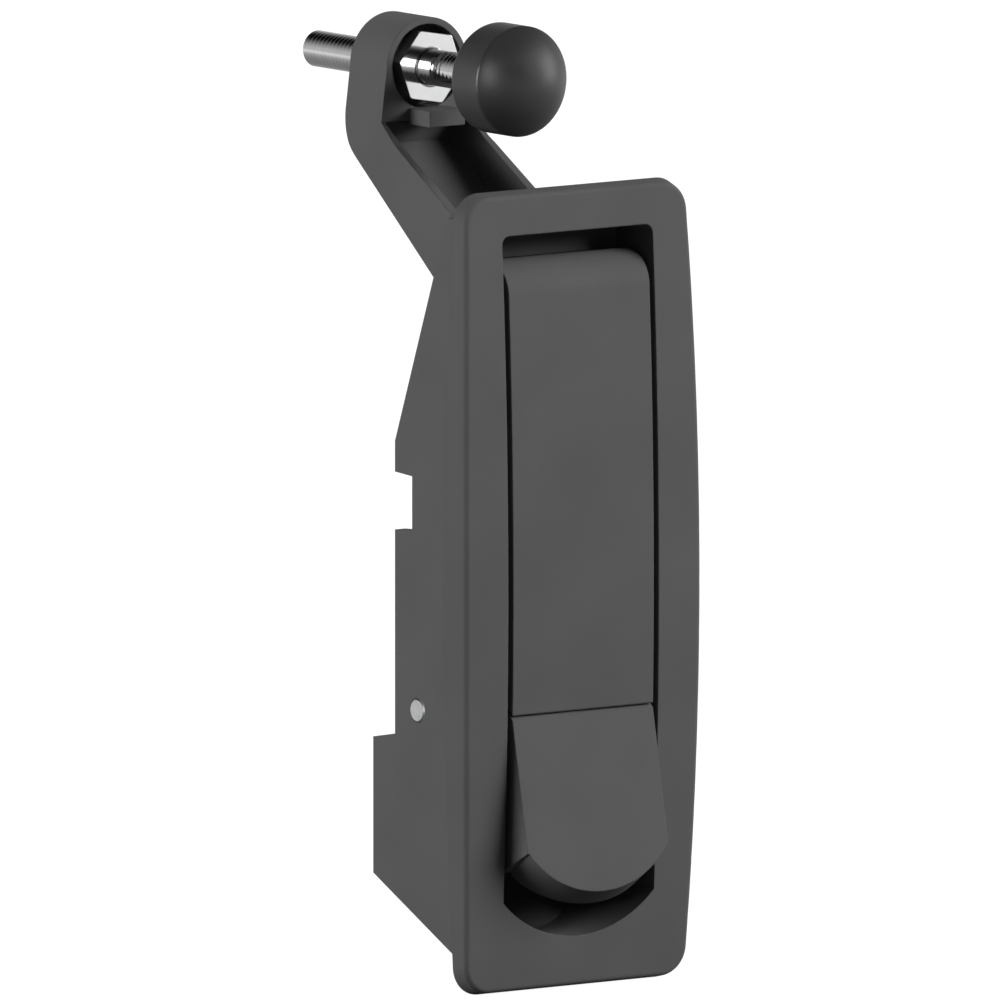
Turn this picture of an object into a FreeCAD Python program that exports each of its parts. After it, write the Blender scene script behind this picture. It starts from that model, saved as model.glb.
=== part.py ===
import FreeCAD, Part
import math
import os

import Sketcher
from FreeCAD import Placement, Rotation, Vector

# Flush-mounted compression latch with a trigger, in millimetres.
# X runs across the latch, Y runs into the panel and Z runs up.
# The origin is the centre of the bezel's back face, which lies on the panel.

DRIVING_SIZES = [
    # bezel, the flange that lies on the panel
    ("bezel_length", 130.0),
    ("bezel_narrowing", 4.1),
    ("bezel_mid_width", 48.8),
    ("bezel_end_thickness", 2.5),
    ("bezel_mid_thickness", 4.7),
    ("bezel_corner_radius", 5.0),
    ("bezel_draft", 12.0),
    ("bezel_edge_radius", 0.8),
    # pocket that the lever lies in
    ("pocket_width", 30.0),
    ("pocket_top", 58.0),
    ("pocket_side_end", 50.1),
    ("pocket_scoop_radius", 20.8),
    ("pocket_corner_radius", 1.5),
    # casing behind the bezel
    ("casing_wall", 2.0),
    ("casing_top_depth", 9.2),
    ("casing_depth", 23.6),
    ("casing_slant_end", 22.4),
    ("casing_bottom", 59.5),
    ("notch_depth", 4.7),
    ("notch_top", 17.1),
    ("notch_height", 8.8),
    ("cup_depth", 29.6),
    ("cup_top", 26.3),
    ("cup_step_rise", 1.1),
    ("cup_heel", 48.5),
    ("cup_toe_depth", 7.6),
    ("brow_gap", 0.6),
    ("brow_end", 51.5),
    # pins
    ("pivot_y", 2.2),
    ("pivot_z", 48.0),
    ("pin_radius", 2.0),
    ("pin_edge", 0.3),
    ("catch_y", 17.4),
    ("catch_z", -20.8),
    ("catch_pin_stand", 0.2),
    ("running_gap", 0.05),
    # lever
    ("lever_width", 28.0),
    ("lever_wall", 2.5),
    ("lever_end", -19.6),
    ("roll_radius", 5.7),
    ("roll_wall", 1.9),
    ("roll_end_angle", 28.0),
    ("skirt_depth_top", 6.0),
    ("skirt_depth_low", 4.6),
    ("skirt_knee", 30.0),
    ("boss_radius", 3.6),
    ("boss_gap", 0.1),
    ("lug_thickness", 2.4),
    ("lug_gap", 0.4),
    ("lug_radius", 2.6),
    ("lug_front", 0.8),
    ("lug_root", -8.0),
    # arm
    ("arm_root_width", 20.8),
    ("arm_neck_width", 19.2),
    ("arm_neck_z", 68.0),
    ("arm_root_z", 46.0),
    ("arm_foot_z", 30.2),
    ("arm_hub_radius", 3.6),
    ("arm_hub_angle", 40.0),
    ("arm_head_radius", 8.0),
    ("arm_head_front", 38.2),
    ("arm_head_thickness", 10.1),
    ("arm_chin_z", 72.0),
    ("arm_chin_rise", 3.0),
    ("arm_chin_depth", 4.0),
    ("arm_throat_y", 19.0),
    ("arm_throat_z", 59.9),
    ("arm_bend_radius", 9.7),
    ("arm_slope", 1.285),
    ("arm_web", 2.4),
    ("arm_hollow_width", 16.6),
    ("arm_hollow_front", 9.0),
    ("arm_hollow_foot_z", 46.5),
    ("arm_hollow_head_z", 67.8),
    ("arm_hollow_roof_y", 41.0),
    ("arm_pin_y", 3.2),
    ("arm_pin_z", 38.5),
    ("arm_pin_radius", 1.5),
    ("nut_recess_radius", 6.9),
    ("nut_recess_depth", 3.8),
    ("ledge_width", 7.0),
    ("ledge_front", 32.6),
    ("ledge_top", 74.0),
    ("ledge_height", 2.6),
    # adjusting screw, nut and bumper
    ("screw_z", 80.6),
    ("screw_radius", 3.0),
    ("screw_rear", 69.1),
    ("screw_seat_depth", 6.4),
    ("screw_gap", 0.03),
    ("screw_point", 0.8),
    ("nut_across_flats", 11.0),
    ("nut_thickness", 5.0),
    ("nut_chamfer", 0.7),
    ("nut_turn", -10.0),
    ("bumper_base", 19.4),
    ("bumper_radius", 9.0),
    ("bumper_barrel", 7.2),
    ("bumper_length", 10.9),
    ("bumper_edge", 0.6),
    ("bumper_shoulder", 0.9),
    # trigger
    ("trigger_pivot_y", 0.0),
    ("trigger_pivot_z", -24.5),
    ("trigger_top", -20.4),
    ("trigger_wall", 2.0),
    ("trigger_tilt", 11.0),
    ("trigger_end", -48.5),
    ("lip_depth", 4.9),
    ("lip_drop", 2.6),
    ("trigger_arc_radius", 16.6),
    ("trigger_skirt_depth", 3.0),
    ("trigger_skirt_end", -30.0),
    ("trigger_heel_y", -1.5),
    ("trigger_heel_z", -47.0),
    ("trigger_pin_radius", 1.25),
    ("trigger_hub_radius", 2.8),
    ("trigger_hub_left", 8.9),
    ("trigger_hub_right", 3.2),
    ("hook_width", 6.0),
    ("hook_clearance", 0.2),
    ("hook_beam_top", -23.2),
    ("hook_beam_bottom", -26.0),
    ("hook_nose_top", -19.8),
    ("hook_nose_flat", 0.8),
    ("hook_nose_base", 2.6),
    # return spring of the trigger
    ("spring_wire", 0.7),
    ("spring_mean_radius", 2.05),
    ("spring_pitch", 0.9),
    ("spring_turns", 5),
    ("spring_left", 3.9),
    ("spring_leg_reach", 7.5),
    ("spring_bend", 1.0),
    ("spring_anchor_z", -17.5),
    # washers between lever and casing
    ("washer_thickness", 0.8),
    ("washer_radius", 4.5),
]

OVERSHOOT = 5.0  # how far a cutting profile runs past the solid that it cuts
SOLID_NODES = []  # every finished sub-part, in the order that it is written


class Size:
    """A length together with the formula that reads it from the sheet."""

    def __init__(self, number, formula):
        self.number = number
        self.formula = formula

    def __add__(self, other):
        other = size_of(other)
        return Size(self.number + other.number, f"({self.formula} + {other.formula})")

    def __sub__(self, other):
        other = size_of(other)
        return Size(self.number - other.number, f"({self.formula} - {other.formula})")

    def __mul__(self, other):
        other = size_of(other)
        return Size(self.number * other.number, f"({self.formula} * {other.formula})")

    def __truediv__(self, other):
        other = size_of(other)
        return Size(self.number / other.number, f"({self.formula} / {other.formula})")

    def __neg__(self):
        return Size(-self.number, f"(0 - {self.formula})")


def size_of(value):
    """A plain number as a Size."""
    if isinstance(value, Size):
        return value
    return Size(float(value), f"({float(value)})")


def root(value):
    return Size(math.sqrt(value.number), f"sqrt({value.formula})")


def sine(angle):
    return Size(math.sin(math.radians(angle.number)), f"sin({angle.formula})")


def cosine(angle):
    return Size(math.cos(math.radians(angle.number)), f"cos({angle.formula})")


def tangent(angle):
    return sine(angle) / cosine(angle)


def square(value):
    return value * value


class Sheet:
    """The driving sizes, each one an attribute that knows its cell."""

    def __init__(self, document):
        self.cells = document.addObject("Spreadsheet::Sheet", "sizes")
        for row, (alias, number) in enumerate(DRIVING_SIZES, start=1):
            self.cells.set(f"A{row}", alias.replace("_", " "))
            self.cells.set(f"B{row}", str(number))
            self.cells.setAlias(f"B{row}", alias)
            setattr(self, alias, Size(float(number), f"sizes.{alias}"))


doc = FreeCAD.newDocument("compression_latch")
size = Sheet(doc)
doc.recompute()


# Sketches

def origin_feature(body, role):
    """One of the body's own base planes or axes."""
    for feature in body.Origin.OriginFeatures:
        if feature.Role == role:
            return feature
    raise RuntimeError(f"{body.Label} has no {role}")


def new_sketch(body, name, plane, offset=None, tilt=None):
    """An empty sketch on one of the body's base planes, or beside it.

    A tilt is (up, angle): the sketch is raised by up and leans by the angle.
    """
    sketch = body.newObject("Sketcher::SketchObject", name)
    sketch.AttachmentSupport = (origin_feature(body, plane), [""])
    sketch.MapMode = "FlatFace"
    if tilt is not None:
        lean = Rotation(Vector(1, 0, 0), tilt[1].number)
        sketch.AttachmentOffset = Placement(Vector(0, 0, 0), lean)
        sketch.setExpression("AttachmentOffset.Base.y", tilt[0].formula)
        sketch.setExpression("AttachmentOffset.Rotation.Angle", tilt[1].formula)
    if offset is not None:
        sketch.setExpression("AttachmentOffset.Base.z", offset.formula)
    return sketch


def bind(sketch, constraints):
    """Adds constraints and ties each one's value to its formula."""
    for kind, ends, value in constraints:
        number = sketch.addConstraint(Sketcher.Constraint(kind, *ends, value.number))
        sketch.setExpression(f"Constraints[{number}]", value.formula)


def arc_between(start, end, radius):
    """The short arc from start to end, anticlockwise if the radius is positive."""
    chord = end - start
    rise = math.sqrt(radius * radius - chord.Length * chord.Length / 4)
    left = Vector(-chord.y, chord.x, 0) / chord.Length
    centre = (start + end) * 0.5 + left * math.copysign(rise, radius)
    first, last = (start, end) if radius > 0 else (end, start)
    begin = math.atan2(first.y - centre.y, first.x - centre.x)
    finish = math.atan2(last.y - centre.y, last.x - centre.x)
    if finish < begin:
        finish += 2 * math.pi
    circle = Part.Circle(centre, Vector(0, 0, 1), abs(radius))
    return Part.ArcOfCircle(circle, begin, finish)


def outline(body, name, plane, corners, offset=None, tilt=None):
    """A closed profile. Each corner is (across, up) or (across, up, radius).

    A radius makes the stretch to the next corner an arc, which is
    anticlockwise where the radius is positive and clockwise where it isn't.
    """
    sketch = new_sketch(body, name, plane, offset, tilt)
    places = [Vector(c[0].number, c[1].number, 0) for c in corners]
    edges = []
    for index, corner in enumerate(corners):
        start = places[index]
        end = places[(index + 1) % len(places)]
        if len(corner) == 3:
            sketch.addGeometry(arc_between(start, end, corner[2].number), False)
            forward = corner[2].number > 0
            edges.append((1, 2) if forward else (2, 1))
        else:
            sketch.addGeometry(Part.LineSegment(start, end), False)
            edges.append((1, 2))
    for index in range(len(corners)):
        following = (index + 1) % len(corners)
        joined = (index, edges[index][1], following, edges[following][0])
        sketch.addConstraint(Sketcher.Constraint("Coincident", *joined))
    for index, corner in enumerate(corners):
        point = (-1, 1, index, edges[index][0])
        bind(sketch, [("DistanceX", point, corner[0]), ("DistanceY", point, corner[1])])
        if len(corner) == 3:
            bent = corner[2] if corner[2].number > 0 else -corner[2]
            bind(sketch, [("Radius", (index,), bent)])
    return sketch


def circles(body, name, plane, rings, offset=None):
    """One or more circles, each (across, up, radius)."""
    sketch = new_sketch(body, name, plane, offset)
    for index, (across, up, radius) in enumerate(rings):
        centre = Vector(across.number, up.number, 0)
        sketch.addGeometry(Part.Circle(centre, Vector(0, 0, 1), radius.number), False)
        point = (-1, 1, index, 3)
        bind(sketch, [("DistanceX", point, across), ("DistanceY", point, up)])
        bind(sketch, [("Radius", (index,), radius)])
    return sketch


# Features

def new_body(label):
    body = doc.addObject("PartDesign::Body", label)
    body.Label = label
    SOLID_NODES.append(body)
    return body


def pad(body, sketch, length, both=False, taper=None):
    """Adds the sketch's area times length, on both sides of it if asked."""
    feature = body.newObject("PartDesign::Pad", "Pad_" + sketch.Name)
    feature.Profile = sketch
    feature.setExpression("Length", length.formula)
    feature.SideType = "Symmetric" if both else "One side"
    if taper is not None:
        feature.setExpression("TaperAngle", taper.formula)
    doc.recompute()
    return feature


def removed_volume(body, feature, before):
    """Makes sure that a cutting feature has met the solid."""
    doc.recompute()
    if not feature.Shape.Volume < before - 1e-6:
        raise RuntimeError(f"{feature.Name} of {body.Label} cuts nothing")
    return feature


def cut(body, sketch, length=None, both=False, back=False, direction=None):
    """Takes the sketch's area away, right through unless a length is given."""
    before = body.Shape.Volume
    feature = body.newObject("PartDesign::Pocket", "Pocket_" + sketch.Name)
    feature.Profile = sketch
    feature.SideType = "Symmetric" if both else "One side"
    feature.Reversed = back
    if length is None:
        feature.Type = "ThroughAll"
    else:
        feature.setExpression("Length", length.formula)
    if direction is not None:
        feature.UseCustomVector = True
        feature.setExpression("Direction.y", direction[0].formula)
        feature.setExpression("Direction.z", direction[1].formula)
    return removed_volume(body, feature, before)


def revolve(body, sketch):
    """Turns the sketch once round the body's own Z axis."""
    feature = body.newObject("PartDesign::Revolution", "Revolution_" + sketch.Name)
    feature.Profile = sketch
    feature.ReferenceAxis = (origin_feature(body, "Z_Axis"), [""])
    feature.Angle = 360
    doc.recompute()
    return feature


def groove(body, sketch):
    """Takes a ring away round the body's own Z axis."""
    before = body.Shape.Volume
    feature = body.newObject("PartDesign::Groove", "Groove_" + sketch.Name)
    feature.Profile = sketch
    feature.ReferenceAxis = (origin_feature(body, "Z_Axis"), [""])
    feature.Angle = 360
    return removed_volume(body, feature, before)


def mirror_across(body, feature):
    """Repeats a feature on the other side of the latch's middle plane."""
    mirrored = body.newObject("PartDesign::Mirrored", "Mirror_" + feature.Name)
    mirrored.Originals = [feature]
    mirrored.MirrorPlane = (origin_feature(body, "YZ_Plane"), [""])
    body.Tip = mirrored
    doc.recompute()
    return mirrored


def edges_where(shape, wanted):
    """The names of the shape's edges whose middle and direction are wanted."""
    names = []
    for number, edge in enumerate(shape.Edges, start=1):
        if edge.Degenerated:
            continue
        middle = edge.valueAt((edge.FirstParameter + edge.LastParameter) / 2)
        along = edge.tangentAt((edge.FirstParameter + edge.LastParameter) / 2)
        if wanted(middle, along):
            names.append(f"Edge{number}")
    return names


def dress(body, kind, value_name, value, name, wanted):
    """A fillet or chamfer on the wanted edges of the body's last feature."""
    last = body.Tip
    names = edges_where(last.Shape, wanted)
    if not names:
        raise RuntimeError(f"{name} of {body.Label} finds no edge")
    feature = body.newObject(kind, name)
    feature.Base = (last, names)
    feature.setExpression(value_name, value.formula)
    doc.recompute()
    return feature


def fillet(body, name, radius, wanted):
    return dress(body, "PartDesign::Fillet", "Radius", radius, name, wanted)


def chamfer(body, name, leg, wanted):
    return dress(body, "PartDesign::Chamfer", "Size", leg, name, wanted)


# Places that several sub-parts share

half_length = size.bezel_length / 2
crown_rise = size.bezel_mid_thickness - size.bezel_end_thickness
crown_radius = (square(half_length) + square(crown_rise)) / (crown_rise * 2)
casing_width = size.pocket_width + size.casing_wall * 2
half_lever = size.lever_width / 2
channel_half = half_lever - size.lever_wall
rolled_front = size.pivot_y - size.roll_radius
arm_head_back = size.arm_head_front + size.arm_head_thickness
hook_rise = size.catch_z - size.trigger_pivot_z
hook_run = size.catch_y - size.trigger_pivot_y
hook_radius = root(square(hook_run) + square(hook_rise)) + size.pin_radius + size.hook_clearance


def face_y(height):
    """Where the crowned front of bezel and lever lies at a height."""
    share = square(height / half_length)
    return crown_rise * share - size.bezel_mid_thickness


def round_trigger_pivot(up, radius):
    """How far behind or before the trigger's pin a circle is at a height."""
    return root(square(radius) - square(up - size.trigger_pivot_z))


lever_end_radius = root(
    square(face_y(size.lever_end) - size.trigger_pivot_y)
    + square(size.lever_end - size.trigger_pivot_z)
)
trigger_top_radius = root(
    square(face_y(size.trigger_top) - size.trigger_pivot_y)
    + square(size.trigger_top - size.trigger_pivot_z)
)


def on_pivot_circle(radius, angle):
    """A point round the lever's pin, the angle counted from up towards back."""
    return (
        size.pivot_y + radius * sine(angle),
        size.pivot_z + radius * cosine(angle),
    )


def arm_front_z(depth):
    """How high the arm's front is, on its straight run from hub to throat."""
    hub_y, hub_z = on_pivot_circle(size.arm_hub_radius, size.arm_hub_angle)
    slope = (size.arm_throat_z - hub_z) / (size.arm_throat_y - hub_y)
    return hub_z + (depth - hub_y) * slope


# Housing: bezel, side plates and finger cup, one casting

def add_bezel(body):
    """The flange: sides bowed outwards, sides drafted, front crowned."""
    bow = size.bezel_narrowing / 2
    half_end = size.bezel_mid_width / 2 - bow
    bow_radius = (square(half_length) + square(bow)) / (bow * 2)
    plan = outline(body, "bezel_plan", "XZ_Plane", [
        (-half_end, -half_length),
        (half_end, -half_length, bow_radius),
        (half_end, half_length),
        (-half_end, half_length, bow_radius),
    ])
    pad(body, plan, size.bezel_mid_thickness, taper=-size.bezel_draft)
    corner_z = half_length.number - size.bezel_mid_thickness.number
    corner_x = half_end.number - size.bezel_mid_thickness.number

    def at_corner(middle, along):
        return abs(middle.z) > corner_z and abs(middle.x) > corner_x and abs(along.y) > 0.8

    fillet(body, "bezel_corners", size.bezel_corner_radius, at_corner)
    front = -size.bezel_mid_thickness - OVERSHOOT
    end = -size.bezel_end_thickness
    past = half_length + 1
    crown = outline(body, "bezel_crown", "YZ_Plane", [
        (end, -half_length, -crown_radius),
        (end, half_length),
        (end, past),
        (front, past),
        (front, -past),
        (end, -past),
    ])
    cut(body, crown, both=True)
    end_y = -size.bezel_end_thickness.number + 0.05

    def on_front_rim(middle, along):
        return middle.y < end_y

    fillet(body, "bezel_front_edge", size.bezel_edge_radius, on_front_rim)


def add_side_plates(body):
    """The casing's side shape, right across, before the pocket is cut."""
    inside_bezel = -size.bezel_end_thickness / 2
    notch_floor = size.casing_depth - size.notch_depth
    notch_low = size.notch_top - size.notch_height
    side = outline(body, "casing_side", "YZ_Plane", [
        (inside_bezel, size.pocket_top + size.casing_wall),
        (inside_bezel, -size.casing_bottom),
        (size.cup_toe_depth, -size.casing_bottom),
        (size.cup_depth, -size.cup_heel),
        (size.cup_depth, -size.cup_top),
        (size.casing_depth, size.cup_step_rise - size.cup_top),
        (size.casing_depth, notch_low - size.pin_edge),
        (notch_floor, notch_low),
        (notch_floor, size.notch_top),
        (size.casing_depth, size.notch_top + size.pin_edge),
        (size.casing_depth, size.casing_slant_end),
        (size.casing_top_depth, size.pocket_top + size.casing_wall),
    ])
    pad(body, side, casing_width, both=True)


def cut_pocket(body):
    """The pocket, right through to the back, with a scooped lower end."""
    half_pocket = size.pocket_width / 2
    mouth = outline(body, "pocket_mouth", "XZ_Plane", [
        (-half_pocket, -size.pocket_side_end, size.pocket_scoop_radius),
        (half_pocket, -size.pocket_side_end),
        (half_pocket, size.pocket_top),
        (-half_pocket, size.pocket_top),
    ])
    cut(body, mouth, both=True)
    near_top = size.pocket_top.number - 0.1
    near_side = half_pocket.number - 0.1
    outside = half_pocket.number + 0.1

    def in_top_corner(middle, along):
        in_corner = near_side < abs(middle.x) < outside and near_top < middle.z
        return in_corner and middle.z < near_top + 0.2 and abs(along.y) > 0.99

    fillet(body, "pocket_corners", size.pocket_corner_radius, in_top_corner)


def add_cup_back(body):
    """Back wall and sloping floor that close the finger cup."""
    slope = (size.casing_bottom - size.cup_heel) / (size.cup_depth - size.cup_toe_depth)
    lift = size.casing_wall * root(square(slope) + 1)
    back = size.cup_depth - size.casing_wall
    wall = outline(body, "cup_back", "YZ_Plane", [
        (size.cup_toe_depth, -size.casing_bottom),
        (size.cup_depth, -size.cup_heel),
        (size.cup_depth, -size.cup_top),
        (back, -size.cup_top),
        (back, lift - size.cup_heel - slope * size.casing_wall),
        (size.cup_toe_depth, lift - size.casing_bottom),
    ])
    pad(body, wall, casing_width, both=True)


def add_brow(body):
    """The wall that closes the pocket's top end, slotted for the arm.

    The slot's ceiling follows the arm's front, which turns away from it.
    """
    front = size.casing_top_depth - size.casing_wall
    top = size.pocket_top + size.casing_wall
    lean = (size.casing_depth - size.casing_top_depth) / (top - size.casing_slant_end)
    back = size.casing_top_depth + (top - size.brow_end) * lean
    brow = outline(body, "brow", "YZ_Plane", [
        (front, size.brow_end),
        (back, size.brow_end),
        (size.casing_top_depth, top),
        (front, top),
    ])
    pad(body, brow, size.pocket_width + size.casing_wall, both=True)
    near = front - OVERSHOOT
    far = back + OVERSHOOT
    low = size.brow_end - OVERSHOOT
    slot = outline(body, "brow_slot", "YZ_Plane", [
        (near, low),
        (far, low),
        (far, arm_front_z(far) + size.brow_gap),
        (near, arm_front_z(near) + size.brow_gap),
    ])
    cut(body, slot, size.arm_root_width + size.brow_gap * 2, both=True)


def make_housing():
    body = new_body("housing")
    add_bezel(body)
    add_side_plates(body)
    cut_pocket(body)
    add_brow(body)
    add_cup_back(body)
    bores = circles(body, "pin_bores", "YZ_Plane", [
        (size.pivot_y, size.pivot_z, size.pin_radius),
        (size.catch_y, size.catch_z, size.pin_radius),
    ])
    cut(body, bores, both=True)
    return body


# Pins and washers

def make_pin(label, across, up, radius, length):
    """A straight pin along X with broken edges at both ends."""
    body = new_body(label)
    section = circles(body, label + "_section", "YZ_Plane", [(across, up, radius)])
    pad(body, section, length, both=True)

    def is_end(middle, along):
        return abs(middle.x) > length.number / 2 - 0.01

    chamfer(body, label + "_ends", size.pin_edge, is_end)
    return body


def make_washers():
    """A pair of thin washers, one on each side of the lever."""
    body = new_body("washer_right")
    SOLID_NODES.remove(body)
    gap = (size.pocket_width - size.lever_width) / 2 - size.washer_thickness
    section = circles(body, "washer_section", "YZ_Plane", [
        (size.pivot_y, size.pivot_z, size.washer_radius),
        (size.pivot_y, size.pivot_z, size.pin_radius + size.running_gap),
    ], offset=half_lever + gap / 2)
    pad(body, section, size.washer_thickness)
    left = doc.addObject("Part::Mirroring", "washer_left")
    left.Source = body
    left.Normal = Vector(1, 0, 0)
    pair = doc.addObject("Part::Compound", "pivot_washers")
    pair.Links = [body, left]
    pair.Label = "pivot_washers"
    doc.recompute()
    SOLID_NODES.append(pair)
    return pair


# Lever

def add_lever_shell(body):
    """Front plate rolled round the pin, with skirts down both sides."""
    end_y = face_y(size.lever_end)
    end_back = size.trigger_pivot_y * 2 - end_y
    top = size.pivot_z + size.roll_radius
    side = outline(body, "lever_side", "YZ_Plane", [
        (end_y, size.lever_end, -crown_radius),
        (rolled_front, size.pivot_z, -size.roll_radius),
        (size.pivot_y, top, -size.roll_radius),
        (size.pivot_y + size.roll_radius, size.pivot_z),
        (size.skirt_depth_top, size.skirt_knee),
        (size.skirt_depth_low, size.trigger_pivot_z + lever_end_radius),
        (end_back, size.lever_end, lever_end_radius),
    ])
    pad(body, side, size.lever_width, both=True)


def cut_lever_channel(body):
    """The hollow between the skirts, open to the back."""
    inner_radius = size.roll_radius - size.roll_wall
    inner_front = size.pivot_y - inner_radius
    outer = on_pivot_circle(size.roll_radius + OVERSHOOT, size.roll_end_angle)
    inner = on_pivot_circle(inner_radius, size.roll_end_angle)
    back = size.pivot_y + size.roll_radius + OVERSHOOT
    low = size.lever_end - OVERSHOOT
    hollow = outline(body, "lever_hollow", "YZ_Plane", [
        (face_y(size.lever_end) + size.lever_wall, low),
        (inner_front, size.pivot_z, -inner_radius),
        inner,
        outer,
        (back, outer[1]),
        (back, low),
    ])
    cut(body, hollow, channel_half * 2, both=True)


def add_lever_bosses(body):
    """Bosses inside the skirts that the arm's root seats between."""
    face = size.arm_root_width / 2 + size.boss_gap
    bosses = circles(body, "lever_bosses", "YZ_Plane", [
        (size.pivot_y, size.pivot_z, size.boss_radius),
        (size.arm_pin_y, size.arm_pin_z, size.arm_pin_radius * 2),
    ], offset=face)
    mirror_across(body, pad(body, bosses, half_lever - size.lever_wall / 2 - face))


def add_trigger_lugs(body):
    """Lugs inside the skirts that reach down to the trigger's pin."""
    outer = half_lever - size.trigger_wall - size.lug_gap
    across = size.trigger_pivot_y
    up = size.trigger_pivot_z
    radius = size.lug_radius
    front = across + size.lug_front
    plate = face_y(size.lever_end) + size.lever_wall / 2
    lug = outline(body, "trigger_lug", "YZ_Plane", [
        (plate, size.lug_root),
        (plate, up + lever_end_radius + size.lug_thickness),
        (front, up + lever_end_radius),
        (front, up + root(square(radius) - square(size.lug_front)), radius),
        (across - radius, up, radius),
        (across, up - radius, radius),
        (across + radius, up),
        (size.skirt_depth_low - size.lug_gap, size.lug_root),
    ], offset=outer - size.lug_thickness)
    mirror_across(body, pad(body, lug, size.lug_thickness))


def bore_lever(body):
    """Bores for the lever's pin, the arm's pin and the trigger's pin."""
    bores = circles(body, "lever_bores", "YZ_Plane", [
        (size.pivot_y, size.pivot_z, size.pin_radius + size.running_gap),
        (size.arm_pin_y, size.arm_pin_z, size.arm_pin_radius),
        (size.trigger_pivot_y, size.trigger_pivot_z, size.trigger_pin_radius),
    ])
    cut(body, bores, both=True)
    anchor = circles(body, "spring_anchor", "YZ_Plane", [
        (
            size.trigger_pivot_y + size.spring_mean_radius,
            size.spring_anchor_z,
            size.spring_wire / 2 + size.running_gap,
        ),
    ], offset=size.trigger_hub_left)
    cut(body, anchor, size.lug_thickness + size.lug_gap, back=True)


def make_lever():
    body = new_body("lever")
    add_lever_shell(body)
    cut_lever_channel(body)
    add_lever_bosses(body)
    add_trigger_lugs(body)
    bore_lever(body)
    return body


# Arm

def add_arm_side(body):
    """The arm's side shape: hub, straight run, bend and upright head."""
    heel_front = size.pivot_y - size.arm_hub_radius
    reach = root(square(size.arm_slope) + 1)
    corner_z = size.arm_foot_z + (arm_head_back - heel_front) / size.arm_slope
    lean = size.arm_slope / reach
    rise = Size(1.0, "(1)") / reach
    # the bend turns from the slope to upright, so each tangent is radius times tan(turn / 2)
    leg = size.arm_bend_radius * ((Size(1.0, "(1)") - rise) / lean)
    hub_end = on_pivot_circle(size.arm_hub_radius, size.arm_hub_angle)
    side = outline(body, "arm_side", "YZ_Plane", [
        (heel_front, size.arm_foot_z),
        (arm_head_back - leg * lean, corner_z - leg * rise, size.arm_bend_radius),
        (arm_head_back, corner_z + leg),
        (arm_head_back, size.screw_z + size.arm_head_radius),
        (size.arm_head_front, size.screw_z + size.arm_head_radius),
        (size.arm_head_front, size.arm_chin_z),
        (size.arm_head_front - size.arm_chin_depth, size.arm_chin_z - size.arm_chin_rise),
        (size.arm_throat_y, size.arm_throat_z),
        (*hub_end, size.arm_hub_radius),
        (heel_front, size.pivot_z),
    ])
    pad(body, side, size.arm_root_width, both=True)


def trim_arm_front(body):
    """The arm seen from the front: round head, sides that widen downwards."""
    root_half = size.arm_root_width / 2
    neck_half = size.arm_neck_width / 2
    head = size.arm_head_radius
    far = root_half + OVERSHOOT
    low = size.arm_root_z
    high = size.screw_z + head + OVERSHOOT
    for side, name in ((1, "right"), (-1, "left")):
        trim = outline(body, f"arm_trim_{name}", "XZ_Plane", [
            (root_half * side, low),
            (neck_half * side, size.arm_neck_z),
            (head * side, size.screw_z, head * side),
            (head * 0, size.screw_z + head),
            (head * 0, high),
            (far * side, high),
            (far * side, low),
        ])
        cut(body, trim, both=True)


def add_nut_ledge(body):
    """The small ledge under the nut."""
    half = size.ledge_width / 2
    ledge = outline(body, "nut_ledge", "XZ_Plane", [
        (-half, size.ledge_top - size.ledge_height),
        (half, size.ledge_top - size.ledge_height),
        (half, size.ledge_top),
        (-half, size.ledge_top),
    ], offset=-size.arm_head_front - size.nut_recess_depth)
    pad(body, ledge, size.arm_head_front + size.nut_recess_depth - size.ledge_front)


def bore_arm(body):
    """Recess for the nut, tapped bore for the screw and both cross bores."""
    recess = circles(body, "nut_recess", "XZ_Plane", [
        (size.screw_z * 0, size.screw_z, size.nut_recess_radius),
    ], offset=-size.arm_head_front - size.nut_recess_depth)
    cut(body, recess, size.nut_recess_depth + OVERSHOOT, back=True)
    tapped = circles(body, "tapped_bore", "XZ_Plane", [
        (size.screw_z * 0, size.screw_z, size.screw_radius),
    ])
    cut(body, tapped, both=True)
    bores = circles(body, "arm_bores", "YZ_Plane", [
        (size.pivot_y, size.pivot_z, size.pin_radius + size.running_gap),
        (size.arm_pin_y, size.arm_pin_z, size.arm_pin_radius),
    ])
    cut(body, bores, both=True)


def hollow_arm(body):
    """The hollow in the arm's front, from above the hub to under the head."""
    heel_front = size.pivot_y - size.arm_hub_radius
    inset = size.arm_web * root(square(size.arm_slope) + 1)

    def web_y(height):
        return heel_front + (height - size.arm_foot_z) * size.arm_slope - inset

    front = size.arm_hollow_front
    before = size.arm_head_front - OVERSHOOT * 4
    hollow = outline(body, "arm_hollow", "YZ_Plane", [
        (front, arm_front_z(front)),
        (web_y(size.arm_hollow_foot_z), size.arm_hollow_foot_z),
        (web_y(size.arm_hollow_head_z), size.arm_hollow_head_z),
        (size.arm_hollow_roof_y, size.arm_chin_z),
        (before, size.arm_chin_z),
    ])
    cut(body, hollow, size.arm_hollow_width, both=True)


def make_arm():
    body = new_body("arm")
    add_arm_side(body)
    trim_arm_front(body)
    hollow_arm(body)
    bore_arm(body)
    add_nut_ledge(body)
    return body


# Trigger

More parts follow.
